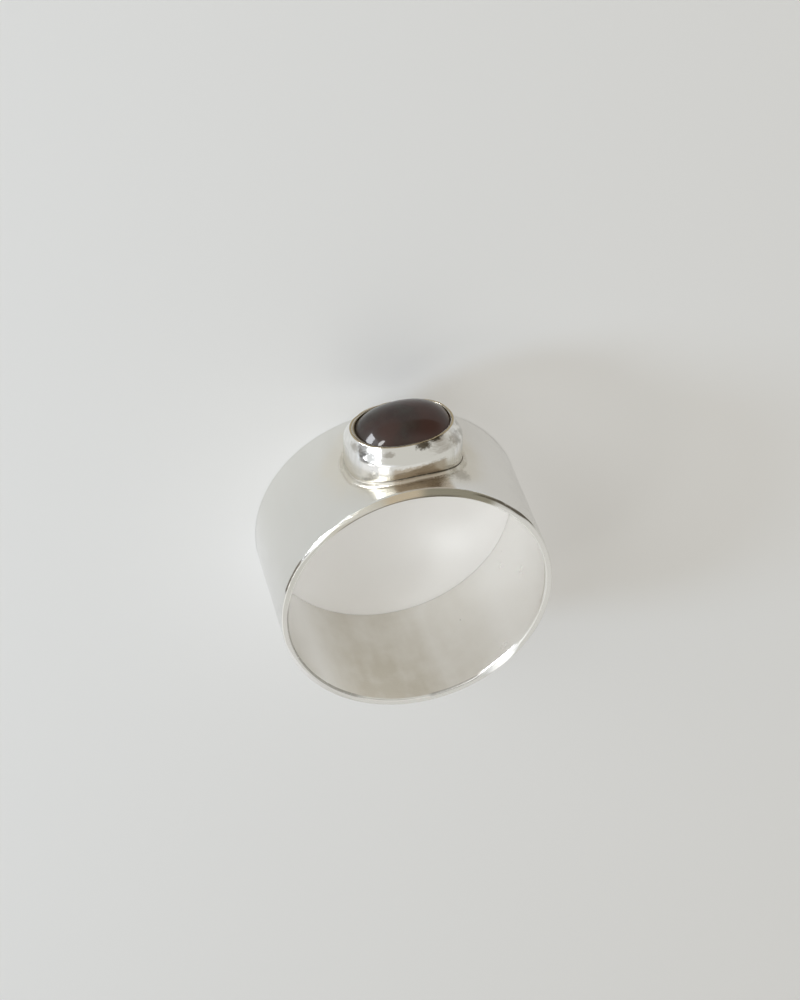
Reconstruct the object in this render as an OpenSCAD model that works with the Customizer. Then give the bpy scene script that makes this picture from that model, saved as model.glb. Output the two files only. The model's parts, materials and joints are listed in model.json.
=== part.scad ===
// Oval cabochon ring, lying on one rim of its band.
// +Z is the axis of the finger hole, the stone faces -Y, and z = 0 is the rim that it rests on.

/* [Finger band] */
// Inside diameter of the band, which is the finger size
finger_d = 19; // [17:0.1:22]
// Width of the band along the finger
band_w = 9.7; // [8.5:0.1:12]
// Thickness of the band's sheet
band_t = 0.5; // [0.4:0.05:1]
// Rounding of the band's two outer edges
edge_round = 0.12; // [0.05:0.01:0.2]

/* [Base plate] */
// Thickness of the pad between the band and the setting
plate_t = 0.3; // [0.2:0.05:0.6]
// How far the pad stands out past the wall of the setting
plate_ledge = 0.12; // [0.05:0.01:0.3]

/* [Bezel cup] */
// Outside length of the setting, round the band
cup_l = 8.4; // [8.2:0.1:9]
// Outside width of the setting, along the finger
cup_w = 6.7; // [6.4:0.1:7]
// Thickness of the wall
wall_t = 0.35; // [0.25:0.01:0.4]
// Height of the lip above the band
lip_h = 2.55; // [2.4:0.05:3]
// Thickness of the burnished lip
lip_t = 0.17; // [0.12:0.01:0.2]
// Length of the opening that shows the stone
opening_l = 7.4; // [7:0.1:7.5]
// Width of the opening that shows the stone
opening_w = 4.9; // [4.9:0.1:5.2]
// Height of the part of the wall that curves in to the lip
shoulder_h = 1.2; // [0.9:0.05:1.3]
// Angle through which the wall is burnished over
shoulder_angle = 70; // [50:5:80]
// How far the hand-set cup is turned from square on the band, in degrees
cup_turn = 8; // [0:1:12]

/* [Garnet] */
// Full height of the cabochon
stone_h = 3.5; // [3.3:0.05:3.6]
// Height of its straight side below the dome
girdle_h = 0.22; // [0.15:0.01:0.3]
// Clearance between the stone and the metal
stone_gap = 0.05; // [0.03:0.01:0.08]

/* [Hidden] */

finger_r = finger_d / 2;
band_r = finger_r + band_t;
plate_r = band_r + plate_t;
mid_z = band_w / 2;
lip_y = band_r + lip_h;
shoulder_y = lip_y - shoulder_h;

// Metal left inside the band, and length past its rims, for the finger hole to cut
cut_spare = 0.5;
// Height at which the wall is rooted, inside the metal of the band under the two ends of the cup
root_y = (finger_r + band_r) / 2 * cos(asin(cup_l / 2 / finger_r));

cavity_l = cup_l - 2 * wall_t;
cavity_w = cup_w - 2 * wall_t;
stone_l = cavity_l - 2 * stone_gap;
stone_w = cavity_w - 2 * stone_gap;
seat_y = plate_r + stone_gap;
girdle_y = seat_y + girdle_h;
dome_h = stone_h - girdle_h;

// Squareness of the ovals: 2 is an ellipse, and more is fuller at the corners
wall_square = 2.6;
lip_square = 2.2;
// Fullness of the dome along its length and across it: 2 is round
dome_full_l = 2.5;
dome_full_w = 2;

ring_sides = 180;
oval_sides = 64;
shoulder_steps = 6;
dome_steps = 10;
// The dome closes with a small flat at this angle, just short of its pole
dome_end = 89;

function mix(a, b, t) = a + (b - a) * t;
function signed_power(v, e) = sign(v) * pow(abs(v), e);
function joined(lists) = [for (l = lists) each l];

// Points of an oval, given its length, width and squareness
function oval(l, w, square) = [
    for (i = [0 : oval_sides - 1])
        let (a = 360 * i / oval_sides)
        [l / 2 * signed_power(cos(a), 2 / square), w / 2 * signed_power(sin(a), 2 / square)]
];

// One ring of a loft: an oval at a height
function section(h, l, w, square) = [for (p = oval(l, w, square)) [p.x, p.y, h]];

// The shoulder's sections, from its foot up to the lip
function shoulder(foot_l, foot_w, top_l, top_w) = [
    for (i = [0 : shoulder_steps])
        let (
            t = i / shoulder_steps,
            inwards = (1 - cos(shoulder_angle * t)) / (1 - cos(shoulder_angle)),
            upwards = sin(shoulder_angle * t) / sin(shoulder_angle)
        )
        section(shoulder_y + shoulder_h * upwards, mix(foot_l, top_l, inwards),
                mix(foot_w, top_w, inwards), mix(wall_square, lip_square, t))
];

// The dome's sections, from the girdle up to the small flat on top
function dome() = [
    for (i = [0 : dome_steps])
        let (t = sin(dome_end * i / dome_steps))
        section(girdle_y + dome_h * t,
                stone_l * pow(1 - pow(t, dome_full_l), 1 / dome_full_l),
                stone_w * pow(1 - pow(t, dome_full_w), 1 / dome_full_w),
                mix(wall_square, 2, t))
];

// A solid through a stack of ovals, closed by a flat face at each end
module loft(sections) {
    top = (len(sections) - 1) * oval_sides;
    polyhedron(
        points = joined(sections),
        faces = [
            [for (i = [0 : oval_sides - 1]) i],
            [for (i = [oval_sides - 1 : -1 : 0]) top + i],
            for (low = [0 : oval_sides : top - 1], i = [0 : oval_sides - 1])
                let (j = (i + 1) % oval_sides, high = low + oval_sides)
                each [[low + i, high + i, high + j], [low + i, high + j, low + j]]
        ],
        convexity = 4
    );
}

// Stands what is drawn along +Z on the band, facing -Y, with its length round the band
module on_band() {
    translate([0, 0, mid_z])
        rotate([90, 0, 0])
        rotate([0, 0, cup_turn])
        children();
}

module finger_hole() {
    translate([0, 0, -cut_spare])
        cylinder(h = band_w + 2 * cut_spare, r = finger_r, $fn = ring_sides);
}

// The band's section, with its two outer edges rounded
module band_section() {
    translate([finger_r - cut_spare, 0])
        square([band_t + cut_spare - edge_round, band_w]);
    translate([finger_r, edge_round])
        square([band_t, band_w - 2 * edge_round]);
    for (z = [edge_round, band_w - edge_round])
        translate([band_r - edge_round, z])
        circle(r = edge_round, $fn = 24);
}

module finger_band() {
    rotate_extrude($fn = ring_sides)
        band_section();
}

// The pad is an oval cut from a shell bent to the band
module base_plate() {
    intersection() {
        on_band()
            translate([0, 0, root_y])
            linear_extrude(height = plate_r)
            polygon(oval(cup_l + 2 * plate_ledge, cup_w + 2 * plate_ledge, wall_square));
        cylinder(h = band_w, r = plate_r, $fn = ring_sides);
    }
}

module bezel_cup() {
    root = section(root_y, cup_l, cup_w, wall_square);
    below = section(root_y - cut_spare, cavity_l, cavity_w, wall_square);
    above = section(lip_y + cut_spare, opening_l, opening_w, lip_square);
    on_band()
        difference() {
            loft([root, each shoulder(cup_l, cup_w, opening_l + 2 * lip_t, opening_w + 2 * lip_t)]);
            loft([below, each shoulder(cavity_l, cavity_w, opening_l, opening_w), above]);
        }
}

// Band, plate and cup are soldered, so they are one solid
module silver_ring() {
    color([0.84, 0.84, 0.82])
        difference() {
            union() {
                finger_band();
                base_plate();
                bezel_cup();
            }
            finger_hole();
        }
}

// Oval cabochon with a flat back and a short straight side below its dome
module garnet() {
    color([0.22, 0.05, 0.06])
        on_band()
        loft([section(seat_y, stone_l, stone_w, wall_square), each dome()]);
}

silver_ring();
garnet();
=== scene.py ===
# A silver ring with an oval garnet, lying on its side: its visible pieces, their finishes,
# and the floor and light around it

import json
import math

import bmesh
import bpy
from mathutils import Matrix, Quaternion, Vector, noise


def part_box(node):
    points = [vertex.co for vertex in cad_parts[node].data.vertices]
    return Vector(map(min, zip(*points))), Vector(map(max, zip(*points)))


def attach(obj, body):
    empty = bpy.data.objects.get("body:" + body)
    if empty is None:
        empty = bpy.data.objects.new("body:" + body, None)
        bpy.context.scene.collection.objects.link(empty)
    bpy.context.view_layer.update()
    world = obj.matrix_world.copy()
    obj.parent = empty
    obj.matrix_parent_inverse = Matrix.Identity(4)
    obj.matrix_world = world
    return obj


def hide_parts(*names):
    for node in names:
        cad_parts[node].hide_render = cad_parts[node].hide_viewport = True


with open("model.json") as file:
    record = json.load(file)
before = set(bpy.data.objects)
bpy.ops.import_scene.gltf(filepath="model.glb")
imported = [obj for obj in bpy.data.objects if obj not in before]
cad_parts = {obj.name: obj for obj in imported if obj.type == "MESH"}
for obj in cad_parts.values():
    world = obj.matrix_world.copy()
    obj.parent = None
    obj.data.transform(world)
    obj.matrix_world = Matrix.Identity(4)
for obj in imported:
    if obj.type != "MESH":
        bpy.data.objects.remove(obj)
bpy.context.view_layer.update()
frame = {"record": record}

# The ring's lengths are written in millimetres and turned into metres by this factor
mm = 0.001
ringLow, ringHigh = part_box("silver_ring")
stoneLow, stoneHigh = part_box("garnet")
boreMount = next(m for m in frame["record"]["mounts"] if m["name"] == "finger_bore")
fingerRadius = boreMount["dims"]["r_mm"] * mm
bandRadius = ringHigh.x
bandWidth = ringHigh.z
lipHeight = -ringLow.y  # all heights of the setting are from the axis of the finger hole
stoneTop = -stoneLow.y
stoneSeat = -stoneHigh.y


# Directions are given as (degrees from the stone's side towards +X, degrees above the floor)
def direction(azimuth, elevation):
    az, el = math.radians(azimuth), math.radians(elevation)
    return Vector((math.sin(az) * math.cos(el), -math.cos(az) * math.cos(el), math.sin(el)))


# Camera, at the photograph's angle to the ring

cameraLook = {
    "aim": Vector((0.20, -5.55, 4.85)) * mm,  # the point that sits in the middle of the picture
    "towards": (15.88, 48.73),
    "distance": 212.9 * mm,
    "roll": 159.46,  # degrees, brings the stone to the top of the picture
    "lens": 106.8,
    "sensor": 36.0,
    "clip": (0.01, 10.0),  # metres
}


def makeCamera(look):
    lens = bpy.data.cameras.new("photoCamera")
    lens.lens = look["lens"]
    lens.sensor_width = look["sensor"]
    lens.clip_start, lens.clip_end = look["clip"]
    camera = bpy.data.objects.new("photoCamera", lens)
    back = direction(*look["towards"])
    camera.location = look["aim"] + back * look["distance"]
    camera.rotation_mode = "QUATERNION"
    roll = Quaternion((0, 0, 1), math.radians(look["roll"]))
    camera.rotation_quaternion = back.to_track_quat("Z", "Y") @ roll
    bpy.context.scene.collection.objects.link(camera)
    bpy.context.scene.camera = camera


makeCamera(cameraLook)
print("camera placed")


# Helpers for shapes

sameSpot = 0.0001 * mm  # points nearer than this are merged into one
poleSpot = 0.002 * mm  # the same at a pole, where a section has shrunk to almost nothing
poleShare = 0.0001  # the scale of the section there


def mix(a, b, t):
    return a + (b - a) * t


def signedPower(value, power):
    return math.copysign(abs(value) ** power, value)


# Smooth unevenness from about -1 to 1, with bumps of some size
def handMade(point, size, seed):
    return noise.noise(point / size + Vector((seed, 2 * seed, 0)))


def meshPiece(name, bm, node, smooth=True):
    mesh = bpy.data.meshes.new(name)
    bm.to_mesh(mesh)
    bm.free()
    for face in mesh.polygons:
        face.use_smooth = smooth
    piece = bpy.data.objects.new(name, mesh)
    bpy.context.scene.collection.objects.link(piece)
    if node:
        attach(piece, "root")
        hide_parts(node)
        print(name, "made with", len(mesh.polygons), "faces")
    return piece


# The setting stands on the band, facing -Y and turned a little by hand

settingFrame = {
    "turn": 8.0,  # degrees from square
    "length": 8.4 * mm,
    "width": 6.7 * mm,
    "squareness": 2.45,  # 2 is an ellipse, more is fuller at the corners
    "openingLength": 7.22 * mm,
    "openingWidth": 4.9 * mm,
    "openingSquareness": 2.2,
    "openingShift": 0.11 * mm,  # the lip is pressed closer to the stone at the -X end
    "plateThickness": 0.3 * mm,
}
onBand = (Matrix.Translation((0, 0, bandWidth / 2)) @ Matrix.Rotation(math.pi / 2, 4, "X")
          @ Matrix.Rotation(math.radians(settingFrame["turn"]), 4, "Z"))
plateRadius = bandRadius + settingFrame["plateThickness"]


def ovalPoint(angle, length, width, squareness):
    power = 2 / squareness
    x = length / 2 * signedPower(math.cos(angle), power)
    y = width / 2 * signedPower(math.sin(angle), power)
    return x, y


# The height at which a spot of the setting meets a cylinder of some radius round the finger
def heightOn(radius, x, y):
    across = onBand.to_3x3() @ Vector((x, y, 0))
    return math.sqrt(max(radius * radius - across.x * across.x, 0))


# A section is an oval with a flat height, or a radius that it bends to and a share of the way to flat
def placeSection(verts, layer, section):
    for v in verts:
        x, y = ovalPoint(v[layer], section["length"], section["width"], section["squareness"])
        x += section.get("shift", 0)
        flat = section.get("height", 0)
        bent = heightOn(section["radius"], x, y) if "radius" in section else flat
        v.co = (x, y, mix(bent, flat, section.get("flatness", 0) if "radius" in section else 1))


# Extrudes a circle of points through a list of oval sections
def loftOval(sections, steps, closed):
    bm = bmesh.new()
    layer = bm.verts.layers.float.new("angle")
    ring = bmesh.ops.create_circle(bm, segments=steps, radius=1)["verts"]
    for v in ring:
        v[layer] = math.atan2(v.co.y, v.co.x)
    placeSection(ring, layer, sections[0])
    edges = bm.edges[:]
    for section in sections[1:]:
        grown = bmesh.ops.extrude_edge_only(bm, edges=edges)["geom"]
        ring = [g for g in grown if isinstance(g, bmesh.types.BMVert)]
        placeSection(ring, layer, section)
        edges = [g for g in grown if isinstance(g, bmesh.types.BMEdge)]
        edges = [e for e in edges if e.verts[0] in ring and e.verts[1] in ring]
    if closed:
        bmesh.ops.bridge_loops(bm, edges=[e for e in bm.edges if e.is_boundary])
    bmesh.ops.remove_doubles(bm, verts=bm.verts, dist=sameSpot)
    bmesh.ops.recalc_face_normals(bm, faces=bm.faces)
    return bm


# Finger band

bandShape = {
    "outerRound": 0.10 * mm,
    "innerRound": 0.06 * mm,
    "footRound": 0.06 * mm,
    "edgeSteps": 5,
    "topCuts": 8,
    "aroundSteps": 256,
    "acrossCuts": 22,
    "waveSize": 4.2 * mm,
    "waveDepth": 0.014 * mm,
    "waveFade": 0.97 * mm,  # the waves die out over this much of the width, at each rim
    "waveSeed": 3.0,
    # where the rim is filed: its middle, half length and slope in degrees, its width,
    # and how quickly it narrows to its ends
    "filedOutside": [
        {"at": -6, "half": 46, "slope": 37, "wide": 0.50 * mm, "narrowing": 0.35},
        {"at": -42, "half": 15, "slope": 54, "wide": 0.22 * mm, "narrowing": 0.7},
        {"at": 47, "half": 15, "slope": 50, "wide": 0.18 * mm, "narrowing": 0.6},
        {"at": 128, "half": 34, "slope": 20, "wide": 0.30 * mm, "narrowing": 0.5},
    ],
    "filedInside": [
        {"at": -139, "half": 13, "slope": 27, "wide": 0.50 * mm, "narrowing": 0.35},
        {"at": -92, "half": 34, "slope": 8, "wide": 0.46 * mm, "narrowing": 0.5},
    ],
}


# How high the rim still is at a point after it was filed
def filedTop(look, point):
    radius = math.hypot(point.x, point.y)
    azimuth = math.degrees(math.atan2(point.x, -point.y))
    cuts = [(cut, bandRadius - radius) for cut in look["filedOutside"]]
    cuts += [(cut, radius - fingerRadius) for cut in look["filedInside"]]
    top = bandWidth
    for cut, fromEdge in cuts:
        turn = min(abs((azimuth - cut["at"] + 180) % 360 - 180) / cut["half"], 1.0)
        wide = cut["wide"] * (0.5 + 0.5 * math.cos(math.pi * turn)) ** cut["narrowing"]
        top = min(top, bandWidth - max(wide - fromEdge, 0.0) * math.tan(math.radians(cut["slope"])))
    return top


def makeBand(look):
    bm = bmesh.new()
    corners = [(fingerRadius, 0), (bandRadius, 0), (bandRadius, bandWidth), (fingerRadius, bandWidth)]
    verts = [bm.verts.new((x, 0, z)) for x, z in corners]
    for i in range(4):
        bm.edges.new((verts[i], verts[(i + 1) % 4]))
    rounds = ((verts[:2], "footRound"), (verts[2:3], "outerRound"), (verts[3:], "innerRound"))
    for corner, name in rounds:
        bmesh.ops.bevel(bm, geom=corner, offset=look[name], offset_type="OFFSET", affect="VERTICES",
                        segments=look["edgeSteps"], profile=0.5, material=-1)
    longEdges = [e for e in bm.edges if e.calc_length() > bandWidth / 2]
    topEdge = [e for e in bm.edges if min(v.co.z for v in e.verts) > bandWidth - sameSpot]
    bmesh.ops.subdivide_edges(bm, edges=longEdges, cuts=look["acrossCuts"])
    bmesh.ops.subdivide_edges(bm, edges=topEdge, cuts=look["topCuts"])
    bmesh.ops.spin(bm, geom=bm.verts[:] + bm.edges[:], cent=(0, 0, 0), axis=(0, 0, 1),
                   angle=math.tau, steps=look["aroundSteps"], use_merge=True)
    bmesh.ops.remove_doubles(bm, verts=bm.verts, dist=sameSpot)
    bmesh.ops.recalc_face_normals(bm, faces=bm.faces)
    for v in bm.verts:
        outward = Vector((v.co.x, v.co.y, 0)).normalized()
        fade = min(min(v.co.z, bandWidth - v.co.z) / look["waveFade"], 1)
        v.co -= outward * look["waveDepth"] * fade * abs(handMade(v.co, look["waveSize"], look["waveSeed"]))
        v.co.z = min(v.co.z, filedTop(look, v.co))
    return meshPiece("fingerBand", bm, "silver_ring")


# Base plate: a thin oval pad bent to the band, with a soft upper edge and a fillet of solder at its foot

plateShape = {
    "ledge": 0.03 * mm,
    "root": 0.25 * mm,  # how deep its hidden underside lies in the band
    "rootReach": 0.1 * mm,  # and how far that reaches past the ledge
    "steps": 160,
    "innerSteps": 8,
    # height above the band and distance past the ledge, in millimetres, from the foot up
    "edge": [(-0.03, 0.16), (0.0, 0.11), (0.03, 0.075), (0.07, 0.042), (0.12, 0.018), (0.18, 0.0),
             (0.25, -0.004), (0.28, -0.016), (0.30, -0.05)],
    "waveSize": 1.3 * mm,
    "waveDepth": 0.05 * mm,
    "waveSeed": 5.0,
    "wavedAbove": 9.0 * mm,  # only the edge is uneven: from this height over the finger's axis
    "wavedPast": 0.9,  # and from this share of the way out
}


def makePlate(look):
    length = settingFrame["length"] + 2 * look["ledge"]
    width = settingFrame["width"] + 2 * look["ledge"]

    def ring(radius, past, scale=1.0):
        return {"length": (length + 2 * past) * scale, "width": (width + 2 * past) * scale,
                "squareness": settingFrame["squareness"], "radius": radius}

    rootRadius = bandRadius - look["root"]
    scales = [max(i / look["innerSteps"], poleShare) for i in range(look["innerSteps"])]
    underside = [ring(rootRadius, look["rootReach"], scale) for scale in scales + [1.0]]
    side = [ring(bandRadius + up * mm, past * mm) for up, past in look["edge"]]
    top = [ring(plateRadius, look["edge"][-1][1] * mm, scale) for scale in reversed(scales)]
    bm = loftOval(underside + side + top, look["steps"], closed=False)
    bmesh.ops.remove_doubles(bm, verts=bm.verts, dist=poleSpot)
    for v in bm.verts:
        outwards = math.hypot(2 * v.co.x / length, 2 * v.co.y / width)
        if v.co.z > look["wavedAbove"] and outwards > look["wavedPast"]:
            out = Vector((v.co.x, v.co.y, 0)).normalized()
            v.co += out * look["waveDepth"] * handMade(v.co, look["waveSize"], look["waveSeed"])
    bm.transform(onBand)
    return meshPiece("basePlate", bm, "silver_ring")


# Garnet: an oval cabochon with a flat back and a short straight side

stoneShape = {
    "inset": 0.40 * mm,  # from the outside of the wall: its thickness and a thin gap
    "girdle": 0.22 * mm,
    "squareness": 2.6,
    "fullnessAlong": 2.5,
    "fullnessAcross": 2.0,
    "steps": 160,
    "domeSteps": 40,
    "backSteps": 4,
    "backShare": 0.985,  # the flat back is this much of the girdle, which it meets a little higher up
    "backRise": 0.05 * mm,
}


# The oval of the dome at a height, grown by a little all round
def stoneRing(height, grown=0.0):
    look = stoneShape
    girdleTop = stoneSeat + look["girdle"]
    t = min(max((height - girdleTop) / (stoneTop - girdleTop), 0.0), 1.0)
    along = (1 - t ** look["fullnessAlong"]) ** (1 / look["fullnessAlong"])
    across = (1 - t ** look["fullnessAcross"]) ** (1 / look["fullnessAcross"])
    length = (settingFrame["length"] - 2 * look["inset"]) * max(along, poleShare)
    width = (settingFrame["width"] - 2 * look["inset"]) * max(across, poleShare)
    return {"length": length + 2 * grown, "width": width + 2 * grown,
            "squareness": mix(look["squareness"], 2.0, t), "height": height}


def makeStone(look):
    girdleTop = stoneSeat + look["girdle"]
    full = stoneRing(girdleTop)

    def ring(height, scale):
        return {**full, "length": full["length"] * scale, "width": full["width"] * scale, "height": height}

    scales = [look["backShare"] * i / look["backSteps"] for i in range(look["backSteps"] + 1)]
    back = [ring(stoneSeat, max(scale, poleShare)) for scale in scales]
    back.append(ring(stoneSeat + look["backRise"], 1))
    rises = [math.sin(math.pi / 2 * i / look["domeSteps"]) for i in range(look["domeSteps"] + 1)]
    dome = [stoneRing(mix(girdleTop, stoneTop, rise)) for rise in rises]
    bm = loftOval(back + dome, look["steps"], closed=False)
    bmesh.ops.remove_doubles(bm, verts=bm.verts, dist=poleSpot)
    bm.transform(onBand)
    return meshPiece("garnetStone", bm, "garnet")


# Bezel cup: a hand-bent wall, burnished in over the stone to a thin lip

cupShape = {
    "wall": 0.35 * mm,
    "lip": 0.17 * mm,
    "lipRound": 0.05 * mm,
    "shoulderHeight": 1.2 * mm,
    "shoulderSlope": 30,  # degrees from upright
    "lipSlope": 30,
    "footTurn": 0.22,  # the shares of the shoulder that turn, at its foot and at the lip
    "lipTurn": 0.20,
    "shoulderSteps": 24,
    "outerArc": (76, 90),  # the turns in degrees at which the lip's round edge has a point
    "innerArc": (90, 120, 150, 180),
    # the lip curls down to the stone: millimetres under its top, and share of the way
    "curl": [(0.02, 0.22), (0.06, 0.50), (0.11, 0.78), (0.17, 1.0)],
    "curlGap": 0.012 * mm,
    "openSteps": 8,  # so many of the shoulder's upper steps have no inner side, behind the curl
    "steps": 192,
    # height above the plate and how far the wall is drawn in, in millimetres: the rounded foot at the seam
    "foot": [(-0.10, 0.045), (-0.01, 0.045), (0.02, 0.03), (0.05, 0.012), (0.09, 0.0)],
    "wallShares": [0.25, 0.5, 0.75],
    "dentSize": 1.9 * mm,
    "dentDepth": 0.022 * mm,
    "dentSeed": 7.0,
    "dentsFrom": 0.4,  # the share of the way up at which the dents are at full depth
    "lipFrom": 0.97,  # and the share at which the lip begins
    "lipDents": 0.35,  # the share of their depth on the lip
    # flats that the burnisher left under the lip: angle and half length in degrees,
    # depth and height in millimetres
    "pressed": [(104, 9, 0.03, 0.3), (125, 7, 0.025, 0.3), (190, 12, 0.05, 0.4), (228, 10, 0.06, 0.4),
                (262, 9, 0.05, 0.35), (290, 12, 0.05, 0.45), (325, 10, 0.05, 0.4)],
    "pressedEdge": 0.7,  # they are at full depth past this share of the lip
    "pressedTop": 0.8,  # and above this share of their height
}


# How far the wall is pressed in at a point, by the flats of the burnisher
def pressedDepth(look, point):
    size = settingFrame
    angle = math.degrees(math.atan2(point.y, point.x))
    power = size["openingSquareness"]
    reach = (abs(2 * (point.x - size["openingShift"]) / size["openingLength"]) ** power
             + abs(2 * point.y / size["openingWidth"]) ** power) ** (1 / power)
    pastOpening = (reach - 1) * size["openingWidth"] / 2 / (look["lip"] * look["pressedEdge"])
    depth = 0.0
    for middle, half, deep, tall in look["pressed"]:
        turn = min(abs((angle - middle + 180) % 360 - 180) / half, 1.0)
        rise = (1 - (lipHeight - point.z) / (tall * mm)) / look["pressedTop"]
        depth += deep * mm * (0.5 + 0.5 * math.cos(math.pi * turn)) * min(max(rise, 0.0), 1.0)
    return depth * min(max(pastOpening, 0.0), 1.0)


# The shoulder's profile from its foot to the lip: how far it is drawn in and has risen, as shares
def shoulderProfile(look):
    points = [(0.0, 0.0)]
    steps = look["shoulderSteps"]
    for i in range(steps):
        s = (i + 0.5) / steps
        slope = look["shoulderSlope"] * min(s / look["footTurn"], 1.0)
        slope += (look["lipSlope"] - look["shoulderSlope"]) * max(1 - (1 - s) / look["lipTurn"], 0.0)
        drawn, risen = points[-1]
        points.append((drawn + math.sin(math.radians(slope)), risen + math.cos(math.radians(slope))))
    return [(drawn / points[-1][0], risen / points[-1][1]) for drawn, risen in points]


def makeCup(look):
    size = settingFrame
    shoulderFoot = lipHeight - look["shoulderHeight"]
    profile = shoulderProfile(look)

    def wallRing(inset, radius=None, flatness=0.0, height=0.0):
        section = {"length": size["length"] - 2 * inset, "width": size["width"] - 2 * inset,
                   "squareness": size["squareness"], "height": height, "flatness": flatness}
        if radius:
            section["radius"] = radius
        return section

    def shoulderRing(point, inset, lipInset, lower=0.0):
        drawn, risen = point
        return {"length": mix(size["length"] - 2 * inset, size["openingLength"] + 2 * lipInset, drawn),
                "width": mix(size["width"] - 2 * inset, size["openingWidth"] + 2 * lipInset, drawn),
                "squareness": mix(size["squareness"], size["openingSquareness"], drawn),
                "shift": drawn * size["openingShift"],
                "height": shoulderFoot + (look["shoulderHeight"] - lower) * risen}

    foot = [wallRing(inset * mm, plateRadius + up * mm) for up, inset in look["foot"]]
    footTop = plateRadius + look["foot"][-1][0] * mm
    wall = [wallRing(0, footTop, share, shoulderFoot) for share in look["wallShares"]]
    edge = look["lipRound"]
    tilt = math.radians(look["lipSlope"])
    lipFoot = look["lip"] - edge + edge * math.cos(tilt)
    outside = [shoulderRing(point, 0, lipFoot, edge - edge * math.sin(tilt)) for point in profile]
    lip = []
    for middle, turns in ((look["lip"] - edge, look["outerArc"]), (edge, look["innerArc"])):
        for turn in turns:
            a = math.radians(turn)
            ring = shoulderRing(profile[-1], 0, middle + edge * math.cos(a))
            ring["height"] = lipHeight - edge + edge * math.sin(a)
            lip.append(ring)
    curl = []
    for down, share in look["curl"]:
        opening = shoulderRing(profile[-1], 0, 0)
        touch = stoneRing(lipHeight - down * mm, look["curlGap"])
        curl.append({"length": mix(opening["length"], touch["length"], share),
                     "width": mix(opening["width"], touch["width"], share),
                     "squareness": mix(opening["squareness"], touch["squareness"], share),
                     "shift": opening["shift"] * (1 - share), "height": lipHeight - down * mm})
    lower = profile[:-look["openSteps"]]
    inside = [shoulderRing(point, look["wall"], 0, edge) for point in reversed(lower)]
    root = [wallRing(look["wall"], plateRadius + look["foot"][0][0] * mm)]
    bm = loftOval(foot + wall + outside + lip + curl + inside + root, look["steps"], closed=True)
    for v in bm.verts:
        out = Vector((v.co.x, v.co.y, 0)).normalized()
        up = (v.co.z - plateRadius) / (lipHeight - plateRadius)
        fade = min(max(up / look["dentsFrom"], 0.0), 1.0)
        if up >= look["lipFrom"]:
            fade *= look["lipDents"]
        v.co -= out * look["dentDepth"] * fade * abs(handMade(v.co, look["dentSize"], look["dentSeed"]))
        v.co -= out * pressedDepth(look, v.co)
    bm.transform(onBand)
    return meshPiece("bezelCup", bm, "silver_ring")


band = makeBand(bandShape)
plate = makePlate(plateShape)
cup = makeCup(cupShape)
stone = makeStone(stoneShape)


# Shader maths: a Shade holds one socket, and an expression on Shades adds the nodes that work it out

class Shade:
    def __init__(self, tree, socket=None):
        self.tree = tree
        self.socket = socket

    # One node of any type: its settings first, then the values or links of its sockets
    def node(self, kind, settings, sockets, output=0):
        made = self.tree.nodes.new(kind)
        for name, value in settings.items():
            setattr(made, name, value)
        for name, value in sockets.items():
            if isinstance(value, Shade):
                self.tree.links.new(value.socket, made.inputs[name])
            else:
                made.inputs[name].default_value = value
        return Shade(self.tree, made.outputs[output])

    def math(self, operation, first, second=0.0):
        return self.node("ShaderNodeMath", {"operation": operation}, {0: first, 1: second})

    def __add__(self, other):
        return self.math("ADD", self, other)

    def __radd__(self, other):
        return self.math("ADD", other, self)

    def __sub__(self, other):
        return self.math("SUBTRACT", self, other)

    def __rsub__(self, other):
        return self.math("SUBTRACT", other, self)

    def __mul__(self, other):
        return self.math("MULTIPLY", self, other)

    def __rmul__(self, other):
        return self.math("MULTIPLY", other, self)

    def __truediv__(self, other):
        return self.math("DIVIDE", self, other)

    def __pow__(self, other):
        return self.math("POWER", self, other)

    # 0 where the value is at low, 1 where it is at high, with a soft turn at both ends
    def ramp(self, low, high):
        return self.node("ShaderNodeMapRange", {"interpolation_type": "SMOOTHSTEP"},
                         {"Value": self, "From Min": low, "From Max": high})

    def blended(self, share, first, second):
        sockets = {0: share, 6: first, 7: second}
        return self.node("ShaderNodeMix", {"data_type": "RGBA"}, sockets, output=2)

    def noise(self, place, scale, detail=2.0, rough=0.5):
        return self.node("ShaderNodeTexNoise", {},
                         {"Vector": place, "Scale": scale, "Detail": detail, "Roughness": rough})

    def part(self, axis):
        return self.node("ShaderNodeSeparateXYZ", {}, {0: self}, output=axis)

    def vector(self, operation, first, second=(0.0, 0.0, 0.0), output=0):
        return self.node("ShaderNodeVectorMath", {"operation": operation}, {0: first, 1: second}, output)


# A material with its constants set on its shader
def newMaterial(name, constants):
    material = bpy.data.materials.new(name)
    material.use_nodes = True
    shader = material.node_tree.nodes["Principled BSDF"]
    for socket, value in constants.items():
        shader.inputs[socket].default_value = value
    return material


# The same with its Shade, and the Object coordinates in millimetres
def startFinish(name, constants):
    material = newMaterial(name, constants)
    shade = Shade(material.node_tree)
    place = shade.node("ShaderNodeTexCoord", {}, {}, output="Object")
    return material, shade, shade.vector("MULTIPLY", place, (1 / mm, 1 / mm, 1 / mm))


def feed(material, sockets):
    shader = material.node_tree.nodes["Principled BSDF"]
    for socket, value in sockets.items():
        material.node_tree.links.new(value.socket, shader.inputs[socket])


# Silver: polished by hand outside, satin inside, with a warm haze of tarnish where it was soldered, and
# painted reflections and shade in places

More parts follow.
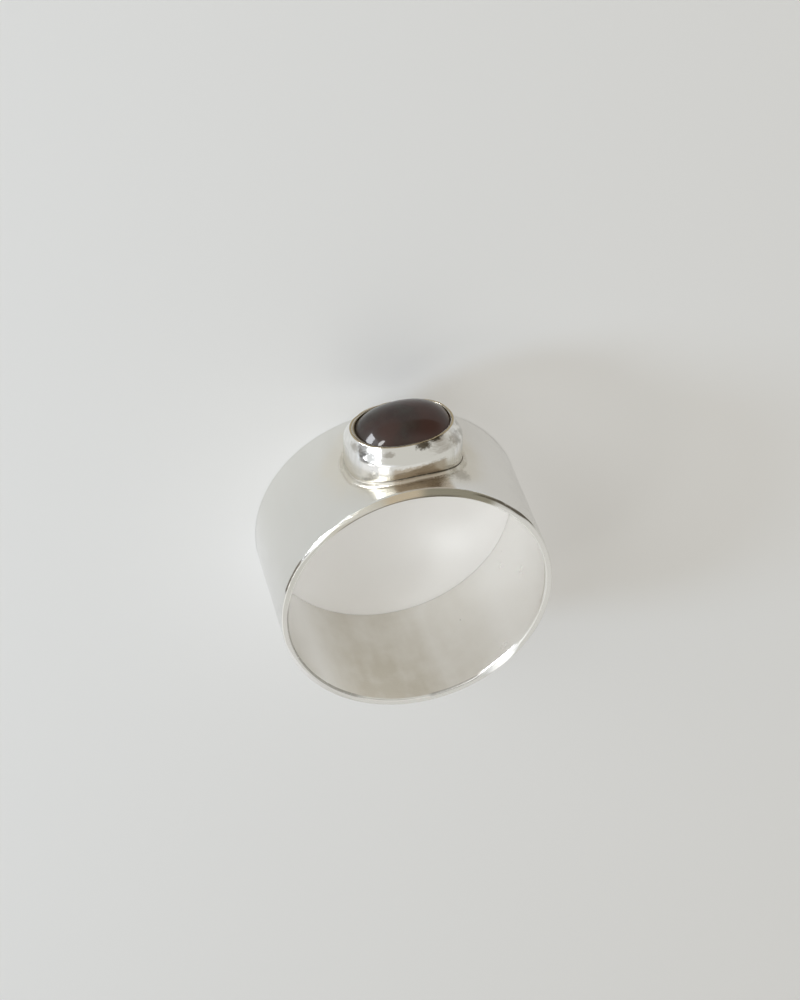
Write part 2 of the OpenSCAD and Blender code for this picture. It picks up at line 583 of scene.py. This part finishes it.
silverLook = {
    "constants": {"Metallic": 1.0},
    "clean": (0.95, 0.947, 0.935, 1),
    "handled": (0.87, 0.867, 0.855, 1),  # the outside of the band
    "breath": (0.79, 0.785, 0.755, 1),  # a dull film on the band, beside the setting
    "haze": (0.79, 0.76, 0.69, 1),
    # the darker warm patch inside the band: painted shade in its reflection, partly tarnish; also the
    # plate's ledge
    "tarnishAndShade": (0.645, 0.61, 0.535, 1),
    "tanReflection": (0.61, 0.54, 0.45, 1),  # a painted tan reflection on the side of the foot and on the band below it
    "warmRimReflection": (0.78, 0.67, 0.52, 1),  # a painted warm reflection on the filed rim beside it
    "darkRimReflection": (0.41, 0.385, 0.315, 1),  # a painted dark reflection on the filed rim further on, the darkest stretch
    "dull": (0.60, 0.595, 0.57, 1),  # brush marks at the ends of the setting
    "faint": (0.26, 0.22, 0.165, 1),  # painted shade in faint blots over reflections on the setting; beside the foot, thin tarnish
    # a painted grey shade over bright reflections on the setting
    "shadeGrey": (0.30, 0.295, 0.285, 1),
    "grimeAndShade": (0.15, 0.13, 0.10, 1),  # old polish in the seam; painted dark reflections along the rim's corners and in blots under the lip
    "gilt": (0.50, 0.41, 0.27, 1),  # the top of the lip
    "creviceShade": (0.36, 0.30, 0.20, 1),  # painted shade between the lip and the stone
    "roughOutside": 0.17,
    "roughInside": 0.30,
    "roughCup": 0.10,
    "roughChange": 0.06,
    "roughGrimeAndShade": 0.35,  # what these three add
    "roughCrevice": 0.25,
    "roughLedge": 0.15,
    # patterns: their scales, and how they are drawn out along each axis
    "cloudScale": 0.55,
    "speckScale": 5.0,
    "streakScale": 0.8,
    "streakStretch": (1, 1, 0.22),
    "brushStretch": (3.0, 3.0, 0.7),
    "lineScale": 2.0,
    "lineStretch": (2.0, 9.0),  # fine lines: per radian round the ring, and per millimetre of its width
    "polishScale": 1.1,
    "polishDepth": 0.012,  # millimetres
    "rippleScale": 2.3,
    "ripple": 0.004,
    # stretches of the ring, in degrees round it: the middle, and how far it reaches
    # where the inside is painted darker: shade in its reflection, partly tarnish
    "insideShadeAndTarnish": (169, 37),
    "insideShadeAndTarnishTail": (192, 41),
    # stretches of the filed rim painted with dark, warm and pale reflections
    "darkRimStretch": (-18, 21),
    "warmRimStretch": (-2, 21),
    "paleRimStretch": (17, 32),
    "breathOutside": (44, 58),
    # where dark reflections are painted along the rim's corners, the same way, and how strong they are
    "edgeShadeOutside": [(66, 11, 0.95), (-41, 21, 0.95)],
    "edgeShadeInside": [(118, 46, 0.55), (10, 34, 0.8), (-162, 16, 0.5)],
    # painted shade round the setting that darkens its reflections, and thin tarnish beside the foot: where,
    # as along, across and up from it, and the size of each blot
    "blots": [((-0.50, 2.72, 12.42), (0.68, 0.65, 0.40)), ((-1.52, 2.46, 12.52), (0.72, 0.60, 0.22))],
    "faintBlots": [((2.05, 2.62, 12.13), (0.50, 0.45, 0.24)), ((-3.25, 3.25, 9.5), (0.9, 0.8, 0.8)),
                   ((3.86, 0.95, 12.05), (0.6, 0.85, 0.36)), ((-3.15, 2.35, 11.95), (0.7, 0.8, 0.5))],
    "shadePatches": [((3.40, 2.00, 11.86), (0.80, 0.85, 0.42))],
    # where each edge begins and ends, in millimetres: from the level beside its name in the code, or from 0
    "edges": {
        "inside": (0.05, 0.20),
        "rim": (-0.25, -0.05),
        "filed": (-0.6, -0.5),
        "filedOut": (-0.03, -0.01),
        "corner": (-0.28, -0.20),
        "cornerTop": (-0.04, -0.01),
        "cornerOut": (-0.20, -0.14),
        "innerCorner": (-0.26, -0.17),
        "innerCornerOut": (0.07, 0.15),
        "stoneSide": (-4.0, -2.0),
        "cup": (0.02, 0.30),
        "footTop": (0.1, 0.9),
        "seamWidth": (0.02, 0.10),
        "seamEnd": (0.5, 4.5),
        "lipTop": (-0.035, -0.012),
        "curl": (-1.5, -1.0),
        "tanReflectionSide": (2.2, 2.7),
        "tanReflectionEnds": (1.75, 2.25),
        "tanReflectionRimEnd": (-0.42, -0.30),
        "tanReflectionTop": (0.7, 1.0),
        "brushedLeft": (-3.6, -2.2),
        "brushedRight": (3.2, 4.2),
    },
    # the same as shares of an oval, where 1 is the outside of the wall, or for the last one the opening
    "rings": {
        "haze": (1.0, 1.7),
        "seam": (0.93, 0.99),
        "seamEnd": (1.01, 1.03),
        "ledge": (0.99, 1.01),
        "ledgeEnd": (1.05, 1.10),
        "opening": (0.985, 1.0),
    },
}


def silverFinish(look):
    material, shade, place = startFinish("polishedSilver", look["constants"])
    radius = shade.vector("LENGTH", shade.vector("MULTIPLY", place, (1, 1, 0)), output="Value")
    x, y, z = place.part(0), place.part(1), place.part(2)

    # The same place seen from the setting: along, across and up
    bandMiddle = (0, 0, bandWidth / mm / 2)
    at = shade.node("ShaderNodeMapping", {"vector_type": "TEXTURE"},
                    {"Vector": place, "Location": bandMiddle, "Rotation": onBand.to_euler()})
    along, across, up = at.part(0), at.part(1), at.part(2)

    # 0 before an edge that the settings name, 1 past it, counted from a level of the ring
    def past(value, name, level=0.0):
        start, end = look["edges"][name]
        return value.ramp(level / mm + start, level / mm + end)

    # 1 in the middle of a stretch of the ring, 0 past its reach
    def stretch(middle, reach):
        turn = math.radians(middle)
        towards = (math.sin(turn), -math.cos(turn), 0)
        facing = shade.vector("DOT_PRODUCT", place, towards, output="Value") / radius
        return facing.ramp(math.cos(math.radians(reach)), 1.0)

    # How far out from the middle of the setting, 1 at an oval of some length and width
    def oval(length, width, power, shift=0.0):
        alongShare = shade.math("ABSOLUTE", along - shift / mm) / (length / mm / 2)
        acrossShare = shade.math("ABSOLUTE", across) / (width / mm / 2)
        return (alongShare ** power + acrossShare ** power) ** (1 / power)

    out = oval(settingFrame["length"], settingFrame["width"], settingFrame["squareness"])
    opening = oval(settingFrame["openingLength"], settingFrame["openingWidth"],
                   settingFrame["openingSquareness"], settingFrame["openingShift"])

    cloud = shade.noise(place, look["cloudScale"], 3.0)
    speck = shade.noise(place, look["speckScale"], 4.0, 0.7)
    streaks = shade.noise(shade.vector("MULTIPLY", place, look["streakStretch"]), look["streakScale"], 3.0)

    inside = 1 - past(radius, "inside", fingerRadius)
    onCup = past(up, "cup", plateRadius)
    rim = past(z, "rim", bandWidth)
    filed = past(z, "filed", bandWidth) * (1 - past(radius, "filedOut", bandRadius))
    outsideByStone = past(up, "stoneSide", bandRadius) * (1 - inside)
    nearFoot = outsideByStone * (1 - past(up, "footTop", plateRadius))
    haze = nearFoot * (1 - out.ramp(*look["rings"]["haze"])) * (0.2 + 1.3 * cloud)
    ledge = nearFoot * out.ramp(*look["rings"]["ledge"]) * (1 - out.ramp(*look["rings"]["ledgeEnd"]))
    ledge = ledge * cloud.ramp(0.25, 0.5)
    # A darker warm patch on the inner wall: painted shade in its reflection, partly tarnish
    insideShadePatch = shade.math("MAXIMUM", stretch(*look["insideShadeAndTarnish"]), stretch(*look["insideShadeAndTarnishTail"]) * 0.5)
    insideShadePatch = insideShadePatch * inside * (1 - rim) * (0.3 + 0.8 * cloud + 0.6 * streaks)
    insideShadePatch = insideShadePatch * (0.6 + 0.45 * z.ramp(0.0, 9.5))  # weaker towards the floor
    breath = stretch(*look["breathOutside"]) * (1 - inside) * (1 - onCup) * (0.45 + 0.9 * streaks)
    lipTop = past(up, "lipTop", lipHeight)
    # The lip's curl down to the stone, painted with shade
    curled = (1 - opening.ramp(*look["rings"]["opening"])) * past(up, "curl", lipHeight) * (1 - lipTop)

    # Old polish in the seam, strongest at the -X end
    fromSeam = shade.math("ABSOLUTE", radius - plateRadius / mm)
    seam = nearFoot * (1 - past(fromSeam, "seamWidth"))
    seam = seam * out.ramp(*look["rings"]["seam"]) * (1 - out.ramp(*look["rings"]["seamEnd"]))
    seam = seam * speck.ramp(0.2, 0.5) * (0.35 + 0.65 * (1 - past(along, "seamEnd")))

    # Painted dark reflections along the rim's outer and inner corners, in stretches
    def stretches(places):
        found = 0.0
        for middle, reach, strength in places:
            found = shade.math("MAXIMUM", found, stretch(middle, reach).ramp(0.1, 0.6) * strength)
        return found

    corner = past(z, "corner", bandWidth) * (1 - past(z, "cornerTop", bandWidth))
    corner = corner * past(radius, "cornerOut", bandRadius) * stretches(look["edgeShadeOutside"])
    innerCorner = past(z, "innerCorner", bandWidth) * (1 - past(radius, "innerCornerOut", fingerRadius))
    innerCorner = innerCorner * stretches(look["edgeShadeInside"])
    grimeAndShade = shade.math("MAXIMUM", corner, innerCorner) * speck.ramp(0.25, 0.45)
    grimeAndShade = shade.math("MAXIMUM", grimeAndShade, seam)

    # Ragged blots: 1 at the middle of each, 0 past its size
    def blots(places):
        found = 0.0
        for middle, size in places:
            away = shade.vector("DIVIDE", shade.vector("SUBTRACT", at, middle), size)
            away = shade.vector("LENGTH", away, output="Value") + (speck - 0.5) * 1.6
            found = shade.math("MAXIMUM", found, 1 - away.ramp(0.4, 1.1))
        return found * (1 - inside)

    # The painted tan reflection covers the long side of the foot that faces the rim, and the band below it
    tanReflection = past(across, "tanReflectionSide") * (1 - past(shade.math("ABSOLUTE", along + 0.05), "tanReflectionEnds"))
    tanReflection = tanReflection * outsideByStone * (1 - past(z, "tanReflectionRimEnd", bandWidth))
    tanReflection = tanReflection * (1 - past(up + (speck - 0.5) * 0.7, "tanReflectionTop", plateRadius))
    brushed = shade.noise(shade.vector("MULTIPLY", at, look["brushStretch"]), 1.0, 3.0).ramp(0.40, 0.60)
    brushed = brushed * (1 - past(along, "brushedLeft") + past(along, "brushedRight") * 0.3) * onCup

    # Painted reflections on the filed rim, over a stretch of it
    def alongRim(name):
        return filed * stretch(*look[name]).ramp(0.0, 0.7)

    # How much of each colour lies over those before it
    # Painted reflections and shade among these: the inside patch, the tan foot, the rim stretches, blots,
    # crevice and corner lines
    layers = [
        (breath.ramp(0.0, 1.0), "breath"),
        (haze.ramp(0.0, 1.0), "haze"),
        (shade.math("MAXIMUM", insideShadePatch, ledge), "tarnishAndShade"),
        (tanReflection * (0.75 + 0.5 * cloud), "tanReflection"),
        (alongRim("paleRimStretch"), "haze"),
        (alongRim("warmRimStretch"), "warmRimReflection"),
        (alongRim("darkRimStretch"), "darkRimReflection"),
        (brushed, "dull"),
        (blots(look["faintBlots"]) * 0.5, "faint"),
        (blots(look["shadePatches"]) * 0.95, "shadeGrey"),
        (blots(look["blots"]), "grimeAndShade"),
        (lipTop * (0.5 + cloud), "gilt"),
        (curled, "creviceShade"),
        (grimeAndShade, "grimeAndShade"),
    ]
    colour = shade.blended(shade.math("MAXIMUM", onCup, inside), look["handled"], look["clean"])
    for share, name in layers:
        colour = shade.blended(share, colour, look[name])

    rough = look["roughOutside"] + inside * (look["roughInside"] - look["roughOutside"])
    rough = rough + onCup * (look["roughCup"] - look["roughOutside"])
    rough = rough + (cloud - 0.5) * look["roughChange"] * 2
    rough = rough + grimeAndShade * look["roughGrimeAndShade"] + curled * look["roughCrevice"] + ledge * look["roughLedge"]

    perTurn, perWidth = look["lineStretch"]
    turn = shade.math("ARCTAN2", x, y)
    lines = shade.node("ShaderNodeCombineXYZ", {}, {0: turn * perTurn, 1: z * perWidth, 2: radius})
    grain = shade.noise(lines, look["lineScale"], 3.0) * (1 - 0.6 * onCup)
    grain = grain + shade.noise(place, look["polishScale"], 2.0) * 1.5
    ripple = look["ripple"] / look["polishDepth"] * 2
    grain = grain + shade.noise(place, look["rippleScale"], 2.0) * onCup * ripple
    relief = {"Strength": 1.0, "Distance": look["polishDepth"] * mm, "Height": grain}
    bump = shade.node("ShaderNodeBump", {}, relief, output="Normal")
    feed(material, {"Base Color": colour, "Roughness": rough, "Normal": bump})
    return material


# Garnet: a very dark brown red, with a painted red glow at one end where light would pass through the stone

garnetLook = {
    "constants": {"Roughness": 0.35, "Specular IOR Level": 0.1,
                  "Coat Weight": 0.65, "Coat Roughness": 0.045, "Coat IOR": 1.52},
    "smoke": (0.034, 0.031, 0.0255, 1),
    # the red of the painted glow, where light would pass through the stone
    "dark": (0.027, 0.019, 0.017, 1),
    "glowRed": (0.056, 0.026, 0.021, 1),
    "glowScale": 0.5,  # the painted glow: its pattern's scale and strength
    "glowNoise": 1.1,
    "glowAlong": -0.045,  # how the glow grows with each millimetre towards +X, and upwards
    "glowUp": 0.03,
    "glow": (0.35, 1.05),  # where it begins and is full
    "veilScale": 0.9,  # the smoky veil over the dark: its pattern's scale, place, beginning and end
    "veilPlace": (20, 0, 0),
    "veil": (0.38, 0.62),
}


def garnetFinish(look):
    material, shade, place = startFinish("garnet", look["constants"])
    veil = shade.noise(shade.vector("ADD", place, look["veilPlace"]), look["veilScale"], 5.0, 0.7)
    colour = shade.blended(veil.ramp(*look["veil"]), look["dark"], look["smoke"])
    glow = shade.noise(place, look["glowScale"], 4.0) * look["glowNoise"]
    glow = glow + place.part(0) * look["glowAlong"] + place.part(2) * look["glowUp"]
    feed(material, {"Base Color": shade.blended(glow.ramp(*look["glow"]), colour, look["glowRed"])})
    return material


silver = silverFinish(silverLook)
for piece in (band, plate, cup):
    piece.data.materials.append(silver)
stone.data.materials.append(garnetFinish(garnetLook))
print("silver and garnet finished")


# Floor and light, which aren't part of the ring

floorLook = {
    "reach": 0.6,  # metres, as the distances and sizes of the lights are
    "constants": {"Base Color": (0.768, 0.76, 0.756, 1), "Roughness": 1.0, "Specular IOR Level": 0.2},
}


def makeFloor(look):
    bm = bmesh.new()
    bmesh.ops.create_grid(bm, x_segments=1, y_segments=1, size=look["reach"])
    floor = meshPiece("paleFloor", bm, None, smooth=False)
    floor.data.materials.append(newMaterial("paleFloor", look["constants"]))


studio = {
    "air": (0.665, 0.652, 0.605, 1),  # what lights the floor
    "passedOn": (0.96, 0.955, 0.925, 1),  # what the metal throws on to the floor
    "seen": (0.585, 0.575, 0.53, 1),  # what the metal mirrors, with brighter and dimmer parts of the room
    # where, how wide to its even part and to its edge in degrees, and its colour
    "parts": [
        {"towards": (100, 60), "inner": 15, "outer": 42, "colour": (0.77, 0.78, 0.785, 1)},
        {"towards": (140, 22), "inner": 20, "outer": 36, "colour": (0.83, 0.83, 0.82, 1)},
        {"towards": (-166, 49), "inner": 10, "outer": 24, "colour": (0.68, 0.67, 0.63, 1)},
        {"towards": (154, 47), "inner": 6, "outer": 11, "colour": (1.25, 1.25, 1.20, 1)},
        {"towards": (102, 65), "inner": 13, "outer": 19, "colour": (1.30, 1.30, 1.26, 1)},
        {"towards": (86, 11), "inner": 14, "outer": 25, "colour": (0.40, 0.40, 0.395, 1)},
        {"towards": (-40, 12), "inner": 6, "outer": 33, "colour": (0.15, 0.115, 0.075, 1)},
    ],
    "lights": [
        {"name": "windowSky", "towards": (55, 27), "distance": 0.45, "shape": "RECTANGLE",
         "size": (0.205, 0.40), "power": 0.44, "colour": (0.90, 0.95, 1.0)},
        {"name": "windowSun", "towards": (57, 8.5), "distance": 0.44, "shape": "RECTANGLE",
         "size": (0.20, 0.185), "power": 1.85, "colour": (0.92, 0.95, 1.0), "glint": True},
        {"name": "lamp", "towards": (36, 38), "distance": 0.44, "shape": "ELLIPSE",
         "size": (0.14, 0.06), "power": 0.34, "colour": (1, 1, 1), "glint": True},
        {"name": "sideLight", "towards": (86, 22), "distance": 0.24, "shape": "ELLIPSE",
         "size": (0.06, 0.06), "power": 0.20, "colour": (0.64, 0.80, 1.0), "mirrored": False},
        {"name": "backLight", "towards": (108, 37), "distance": 0.45, "shape": "ELLIPSE",
         "size": (0.09, 0.09), "power": 0.085, "colour": (1.0, 0.99, 0.96)},
    ],
    "brightest": 1.5,  # what light may carry after a bounce, which keeps bright specks out
}


# Such a light shows only as a glint on the metal and the stone, and adds nothing to the floor
def glintOnly(lamp):
    lamp.visible_diffuse = False
    lamp.data.use_nodes = True
    tree = lamp.data.node_tree
    bounced = Shade(tree).node("ShaderNodeLightPath", {}, {}, output="Diffuse Depth")
    straight = 1 - bounced.math("MINIMUM", bounced, 1)
    tree.links.new(straight.socket, tree.nodes["Emission"].inputs["Strength"])


def makeStudio(look):
    world = bpy.data.worlds.new("studio")
    bpy.context.scene.world = world
    world.use_nodes = True
    background = world.node_tree.nodes["Background"]
    shade = Shade(world.node_tree)
    sight = shade.node("ShaderNodeTexCoord", {}, {}, output="Generated")
    seen = look["seen"]
    for part in look["parts"]:
        near = shade.vector("DOT_PRODUCT", sight, direction(*part["towards"]), output="Value")
        outer, inner = math.radians(part["outer"]), math.radians(part["inner"])
        seen = shade.blended(near.ramp(math.cos(outer), math.cos(inner)), seen, part["colour"])
    glossy = shade.node("ShaderNodeLightPath", {}, {}, output="Is Glossy Ray")
    fromFloor = shade.node("ShaderNodeLightPath", {}, {}, output="Diffuse Depth")
    seen = shade.blended(shade.math("MINIMUM", fromFloor, 1), seen, look["passedOn"])
    air = shade.blended(glossy, look["air"], seen)
    world.node_tree.links.new(air.socket, background.inputs["Color"])
    centre = Vector((0, 0, bandWidth / 2))
    for item in look["lights"]:
        light = bpy.data.lights.new(item["name"], "AREA")
        light.shape = item["shape"]
        light.size, light.size_y = item["size"]
        light.energy = item["power"]
        light.color = item["colour"]
        lamp = bpy.data.objects.new(item["name"], light)
        way = direction(*item["towards"])
        lamp.location = centre + way * item["distance"]
        lamp.rotation_mode = "QUATERNION"
        lamp.rotation_quaternion = way.to_track_quat("Z", "Y")
        lamp.visible_camera = False
        lamp.visible_glossy = item.get("mirrored", True)
        if item.get("glint"):
            glintOnly(lamp)
        bpy.context.scene.collection.objects.link(lamp)


makeFloor(floorLook)
makeStudio(studio)
bpy.context.scene.view_settings.view_transform = "Standard"
bpy.context.scene.cycles.blur_glossy = 0.0
bpy.context.scene.cycles.sample_clamp_indirect = studio["brightest"]
print("floor and light ready")
